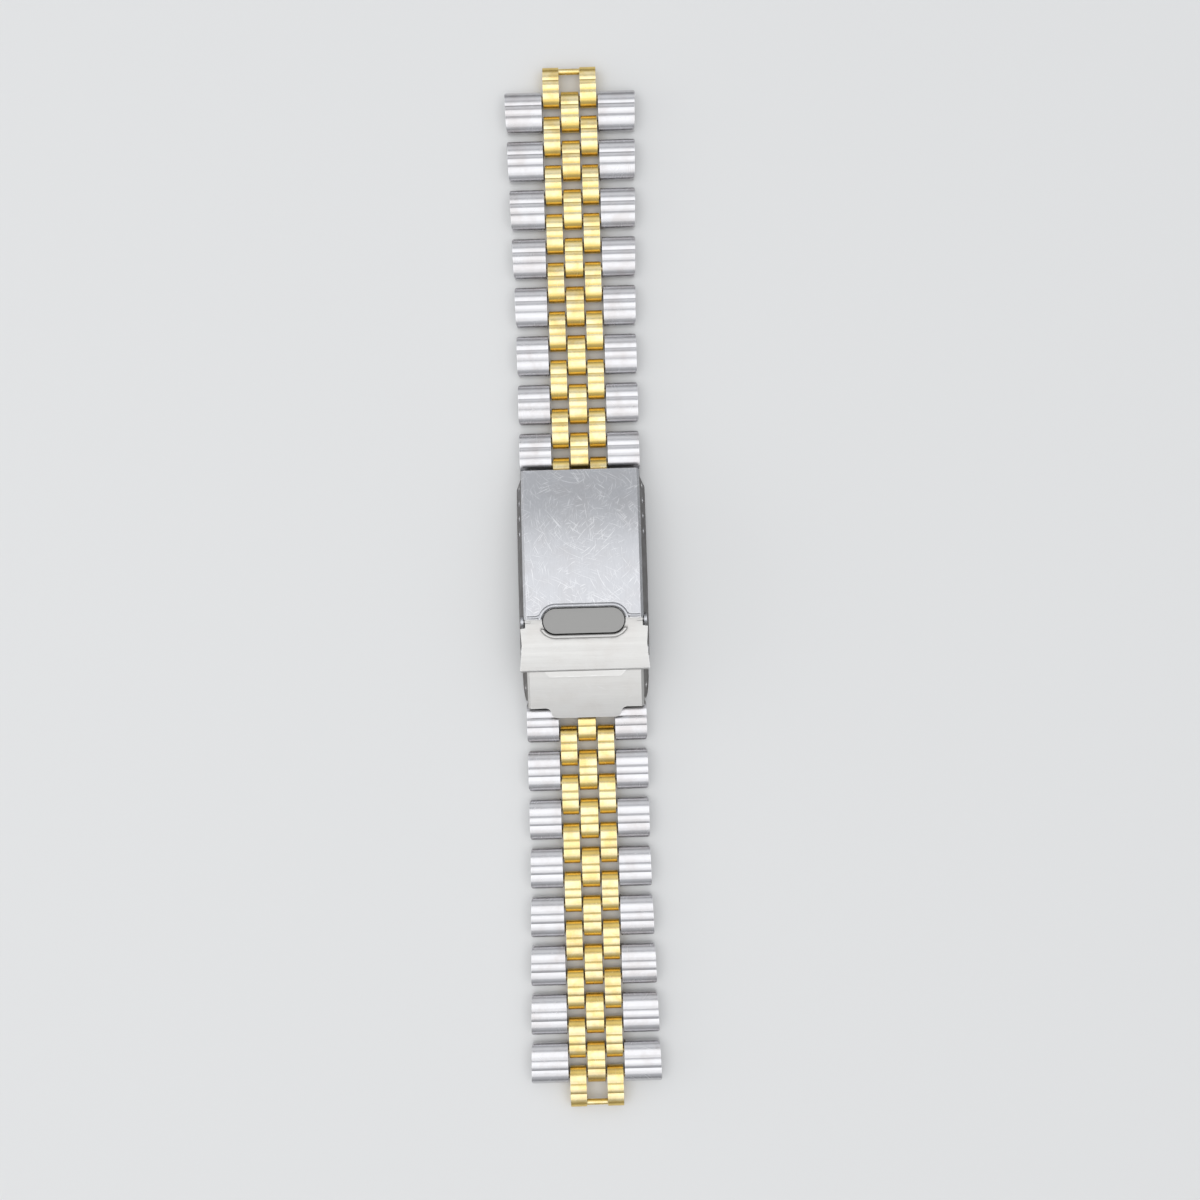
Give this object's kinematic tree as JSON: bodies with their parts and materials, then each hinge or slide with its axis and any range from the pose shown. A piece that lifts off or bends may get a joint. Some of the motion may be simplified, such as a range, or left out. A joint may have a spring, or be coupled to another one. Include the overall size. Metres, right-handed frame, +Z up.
{
  "type": "watch bracelet",
  "caption": "Two-tone metal watch bracelet of short hinged links in five columns, tapering to a folding clasp with a flip-lock catch and a spring bar that can be moved from hole to hole.",
  "frame": {"origin": "under the middle of the closed bracelet, on the surface that it lies on", "axes": "+Y along the bracelet towards the half that hangs on the spring bar, +X across it, +Z up through the outer face"},
  "size_m": [0.0198, 0.1588, 0.0082],
  "materials": {
    "steel_links": "worn polish",
    "gold_links": "worn polish",
    "clasp_steel": "scratched satin",
    "blade_steel": "satin",
    "pin_steel": "turned"
  },
  "bodies": {
    "base": {"base_blade": "blade_steel", "end_cap": "clasp_steel", "blade_pin": "pin_steel"},
    "fold": {"folding_blade": "blade_steel"},
    "cover": {"clasp_cover": "clasp_steel", "cover_pins": "pin_steel", "spring_bar": "pin_steel"},
    "catch": {"safety_catch": "clasp_steel"},
    "tip_left": {"spring_bar_tip_left": "pin_steel"},
    "tip_right": {"spring_bar_tip_right": "pin_steel"},
    "upper_inner_row_8": {"upper_inner_links_8": "gold_links"},
    "upper_outer_row_8": {"upper_outer_links_8": "steel_links", "upper_centre_link_8": "gold_links"},
    "upper_inner_row_7": {"upper_inner_links_7": "gold_links"},
    "upper_outer_row_7": {"upper_outer_links_7": "steel_links", "upper_centre_link_7": "gold_links"},
    "upper_inner_row_6": {"upper_inner_links_6": "gold_links"},
    "upper_outer_row_6": {"upper_outer_links_6": "steel_links", "upper_centre_link_6": "gold_links"},
    "upper_inner_row_5": {"upper_inner_links_5": "gold_links"},
    "upper_outer_row_5": {"upper_outer_links_5": "steel_links", "upper_centre_link_5": "gold_links"},
    "upper_inner_row_4": {"upper_inner_links_4": "gold_links"},
    "upper_outer_row_4": {"upper_outer_links_4": "steel_links", "upper_centre_link_4": "gold_links"},
    "upper_inner_row_3": {"upper_inner_links_3": "gold_links"},
    "upper_outer_row_3": {"upper_outer_links_3": "steel_links", "upper_centre_link_3": "gold_links"},
    "upper_inner_row_2": {"upper_inner_links_2": "gold_links"},
    "upper_outer_row_2": {"upper_outer_links_2": "steel_links", "upper_centre_link_2": "gold_links"},
    "upper_inner_row_1": {"upper_inner_links_1": "gold_links"},
    "upper_outer_row_1": {"upper_outer_links_1": "steel_links", "upper_centre_link_1": "gold_links"},
    "upper_inner_row_0": {"upper_inner_links_0": "gold_links"},
    "lower_inner_row_8": {"lower_inner_links_8": "gold_links"},
    "lower_outer_row_8": {"lower_outer_links_8": "steel_links", "lower_centre_link_8": "gold_links"},
    "lower_inner_row_7": {"lower_inner_links_7": "gold_links"},
    "lower_outer_row_7": {"lower_outer_links_7": "steel_links", "lower_centre_link_7": "gold_links"},
    "lower_inner_row_6": {"lower_inner_links_6": "gold_links"},
    "lower_outer_row_6": {"lower_outer_links_6": "steel_links", "lower_centre_link_6": "gold_links"},
    "lower_inner_row_5": {"lower_inner_links_5": "gold_links"},
    "lower_outer_row_5": {"lower_outer_links_5": "steel_links", "lower_centre_link_5": "gold_links"},
    "lower_inner_row_4": {"lower_inner_links_4": "gold_links"},
    "lower_outer_row_4": {"lower_outer_links_4": "steel_links", "lower_centre_link_4": "gold_links"},
    "lower_inner_row_3": {"lower_inner_links_3": "gold_links"},
    "lower_outer_row_3": {"lower_outer_links_3": "steel_links", "lower_centre_link_3": "gold_links"},
    "lower_inner_row_2": {"lower_inner_links_2": "gold_links"},
    "lower_outer_row_2": {"lower_outer_links_2": "steel_links", "lower_centre_link_2": "gold_links"},
    "lower_inner_row_1": {"lower_inner_links_1": "gold_links"},
    "lower_outer_row_1": {"lower_outer_links_1": "steel_links", "lower_centre_link_1": "gold_links"},
    "lower_inner_row_0": {"lower_inner_links_0": "gold_links"}
  },
  "joints": [
    {"name": "clasp_fold", "type": "hinge", "parent": "base", "child": "fold", "pos_m": [0, 0.01112, 0.00117], "axis": [-1, 0, 0], "range_deg": [0, 170]},
    {"name": "cover_swing", "type": "hinge", "parent": "fold", "child": "cover", "pos_m": [0, -0.00957, 0.00318], "axis": [1, 0, 0], "range_deg": [0, 170]},
    {"name": "catch_flip", "type": "hinge", "parent": "cover", "child": "catch", "pos_m": [0, -0.00503, 0.0065], "axis": [-1, 0, 0], "range_deg": [0, 60]},
    {"name": "spring_tip_left", "type": "slide", "parent": "cover", "child": "tip_left", "axis": [1, 0, 0], "range_m": [0, 0.0011], "stiffness_N_per_m": 300, "springref_m": -0.001},
    {"name": "spring_tip_right", "type": "slide", "parent": "cover", "child": "tip_right", "axis": [-1, 0, 0], "range_m": [0, 0.0011], "stiffness_N_per_m": 300, "springref_m": -0.001},
    {"name": "upper_spring_bar", "type": "hinge", "parent": "cover", "child": "upper_inner_row_8", "pos_m": [0, 0.01512, 0.00283], "axis": [1, 0, 0], "range_deg": [-45, 6]},
    {"name": "upper_pin_16", "type": "hinge", "parent": "upper_inner_row_8", "child": "upper_outer_row_8", "pos_m": [0, 0.01868, 0.00174], "axis": [-1, 0, 0], "range_deg": [-26.02, 53.98]},
    {"name": "upper_pin_15", "type": "hinge", "parent": "upper_outer_row_8", "child": "upper_inner_row_7", "pos_m": [0, 0.02239, 0.00155], "axis": [1, 0, 0], "range_deg": [-41.01, 38.99]},
    {"name": "upper_pin_14", "type": "hinge", "parent": "upper_inner_row_7", "child": "upper_outer_row_7", "pos_m": [0, 0.02611, 0.00142], "axis": [-1, 0, 0], "range_deg": [-38.99, 41.01]},
    {"name": "upper_pin_13", "type": "hinge", "parent": "upper_outer_row_7", "child": "upper_inner_row_6", "pos_m": [0, 0.02983, 0.00135], "axis": [1, 0, 0], "range_deg": [-41.01, 38.99]},
    {"name": "upper_pin_12", "type": "hinge", "parent": "upper_inner_row_6", "child": "upper_outer_row_6", "pos_m": [0, 0.03355, 0.00135], "axis": [-1, 0, 0], "range_deg": [-40, 40]},
    {"name": "upper_pin_11", "type": "hinge", "parent": "upper_outer_row_6", "child": "upper_inner_row_5", "pos_m": [0, 0.03727, 0.00135], "axis": [1, 0, 0], "range_deg": [-40, 40]},
    {"name": "upper_pin_10", "type": "hinge", "parent": "upper_inner_row_5", "child": "upper_outer_row_5", "pos_m": [0, 0.04099, 0.00135], "axis": [-1, 0, 0], "range_deg": [-40, 40]},
    {"name": "upper_pin_9", "type": "hinge", "parent": "upper_outer_row_5", "child": "upper_inner_row_4", "pos_m": [0, 0.04471, 0.00135], "axis": [1, 0, 0], "range_deg": [-40, 40]},
    {"name": "upper_pin_8", "type": "hinge", "parent": "upper_inner_row_4", "child": "upper_outer_row_4", "pos_m": [0, 0.04843, 0.00135], "axis": [-1, 0, 0], "range_deg": [-40, 40]},
    {"name": "upper_pin_7", "type": "hinge", "parent": "upper_outer_row_4", "child": "upper_inner_row_3", "pos_m": [0, 0.05215, 0.00135], "axis": [1, 0, 0], "range_deg": [-40, 40]},
    {"name": "upper_pin_6", "type": "hinge", "parent": "upper_inner_row_3", "child": "upper_outer_row_3", "pos_m": [0, 0.05587, 0.00135], "axis": [-1, 0, 0], "range_deg": [-40, 40]},
    {"name": "upper_pin_5", "type": "hinge", "parent": "upper_outer_row_3", "child": "upper_inner_row_2", "pos_m": [0, 0.05959, 0.00135], "axis": [1, 0, 0], "range_deg": [-40, 40]},
    {"name": "upper_pin_4", "type": "hinge", "parent": "upper_inner_row_2", "child": "upper_outer_row_2", "pos_m": [0, 0.06331, 0.00135], "axis": [-1, 0, 0], "range_deg": [-40, 40]},
    {"name": "upper_pin_3", "type": "hinge", "parent": "upper_outer_row_2", "child": "upper_inner_row_1", "pos_m": [0, 0.06703, 0.00135], "axis": [1, 0, 0], "range_deg": [-40, 40]},
    {"name": "upper_pin_2", "type": "hinge", "parent": "upper_inner_row_1", "child": "upper_outer_row_1", "pos_m": [0, 0.07075, 0.00135], "axis": [-1, 0, 0], "range_deg": [-40, 40]},
    {"name": "upper_pin_1", "type": "hinge", "parent": "upper_outer_row_1", "child": "upper_inner_row_0", "pos_m": [0, 0.07447, 0.00135], "axis": [1, 0, 0], "range_deg": [-40, 40]},
    {"name": "lower_cap_pin", "type": "hinge", "parent": "base", "child": "lower_inner_row_8", "pos_m": [0, -0.01509, 0.00238], "axis": [1, 0, 0], "range_deg": [-3.5, 45]},
    {"name": "lower_pin_16", "type": "hinge", "parent": "lower_inner_row_8", "child": "lower_outer_row_8", "pos_m": [0, -0.01867, 0.00136], "axis": [-1, 0, 0], "range_deg": [-55.95, 24.05]},
    {"name": "lower_pin_15", "type": "hinge", "parent": "lower_outer_row_8", "child": "lower_inner_row_7", "pos_m": [0, -0.02239, 0.00135], "axis": [1, 0, 0], "range_deg": [-39.98, 40.02]},
    {"name": "lower_pin_14", "type": "hinge", "parent": "lower_inner_row_7", "child": "lower_outer_row_7", "pos_m": [0, -0.02611, 0.00135], "axis": [-1, 0, 0], "range_deg": [-40.02, 39.98]},
    {"name": "lower_pin_13", "type": "hinge", "parent": "lower_outer_row_7", "child": "lower_inner_row_6", "pos_m": [0, -0.02983, 0.00135], "axis": [1, 0, 0], "range_deg": [-39.98, 40.02]},
    {"name": "lower_pin_12", "type": "hinge", "parent": "lower_inner_row_6", "child": "lower_outer_row_6", "pos_m": [0, -0.03355, 0.00135], "axis": [-1, 0, 0], "range_deg": [-40, 40]},
    {"name": "lower_pin_11", "type": "hinge", "parent": "lower_outer_row_6", "child": "lower_inner_row_5", "pos_m": [0, -0.03727, 0.00135], "axis": [1, 0, 0], "range_deg": [-40, 40]},
    {"name": "lower_pin_10", "type": "hinge", "parent": "lower_inner_row_5", "child": "lower_outer_row_5", "pos_m": [0, -0.04099, 0.00135], "axis": [-1, 0, 0], "range_deg": [-40, 40]},
    {"name": "lower_pin_9", "type": "hinge", "parent": "lower_outer_row_5", "child": "lower_inner_row_4", "pos_m": [0, -0.04471, 0.00135], "axis": [1, 0, 0], "range_deg": [-40, 40]},
    {"name": "lower_pin_8", "type": "hinge", "parent": "lower_inner_row_4", "child": "lower_outer_row_4", "pos_m": [0, -0.04843, 0.00135], "axis": [-1, 0, 0], "range_deg": [-40, 40]},
    {"name": "lower_pin_7", "type": "hinge", "parent": "lower_outer_row_4", "child": "lower_inner_row_3", "pos_m": [0, -0.05215, 0.00135], "axis": [1, 0, 0], "range_deg": [-40, 40]},
    {"name": "lower_pin_6", "type": "hinge", "parent": "lower_inner_row_3", "child": "lower_outer_row_3", "pos_m": [0, -0.05587, 0.00135], "axis": [-1, 0, 0], "range_deg": [-40, 40]},
    {"name": "lower_pin_5", "type": "hinge", "parent": "lower_outer_row_3", "child": "lower_inner_row_2", "pos_m": [0, -0.05959, 0.00135], "axis": [1, 0, 0], "range_deg": [-40, 40]},
    {"name": "lower_pin_4", "type": "hinge", "parent": "lower_inner_row_2", "child": "lower_outer_row_2", "pos_m": [0, -0.06331, 0.00135], "axis": [-1, 0, 0], "range_deg": [-40, 40]},
    {"name": "lower_pin_3", "type": "hinge", "parent": "lower_outer_row_2", "child": "lower_inner_row_1", "pos_m": [0, -0.06703, 0.00135], "axis": [1, 0, 0], "range_deg": [-40, 40]},
    {"name": "lower_pin_2", "type": "hinge", "parent": "lower_inner_row_1", "child": "lower_outer_row_1", "pos_m": [0, -0.07075, 0.00135], "axis": [-1, 0, 0], "range_deg": [-40, 40]},
    {"name": "lower_pin_1", "type": "hinge", "parent": "lower_outer_row_1", "child": "lower_inner_row_0", "pos_m": [0, -0.07447, 0.00135], "axis": [1, 0, 0], "range_deg": [-40, 40]}
  ],
  "couplings": [
    {"joint": "cover_swing", "follows": "clasp_fold", "ratio": 1}
  ]
}
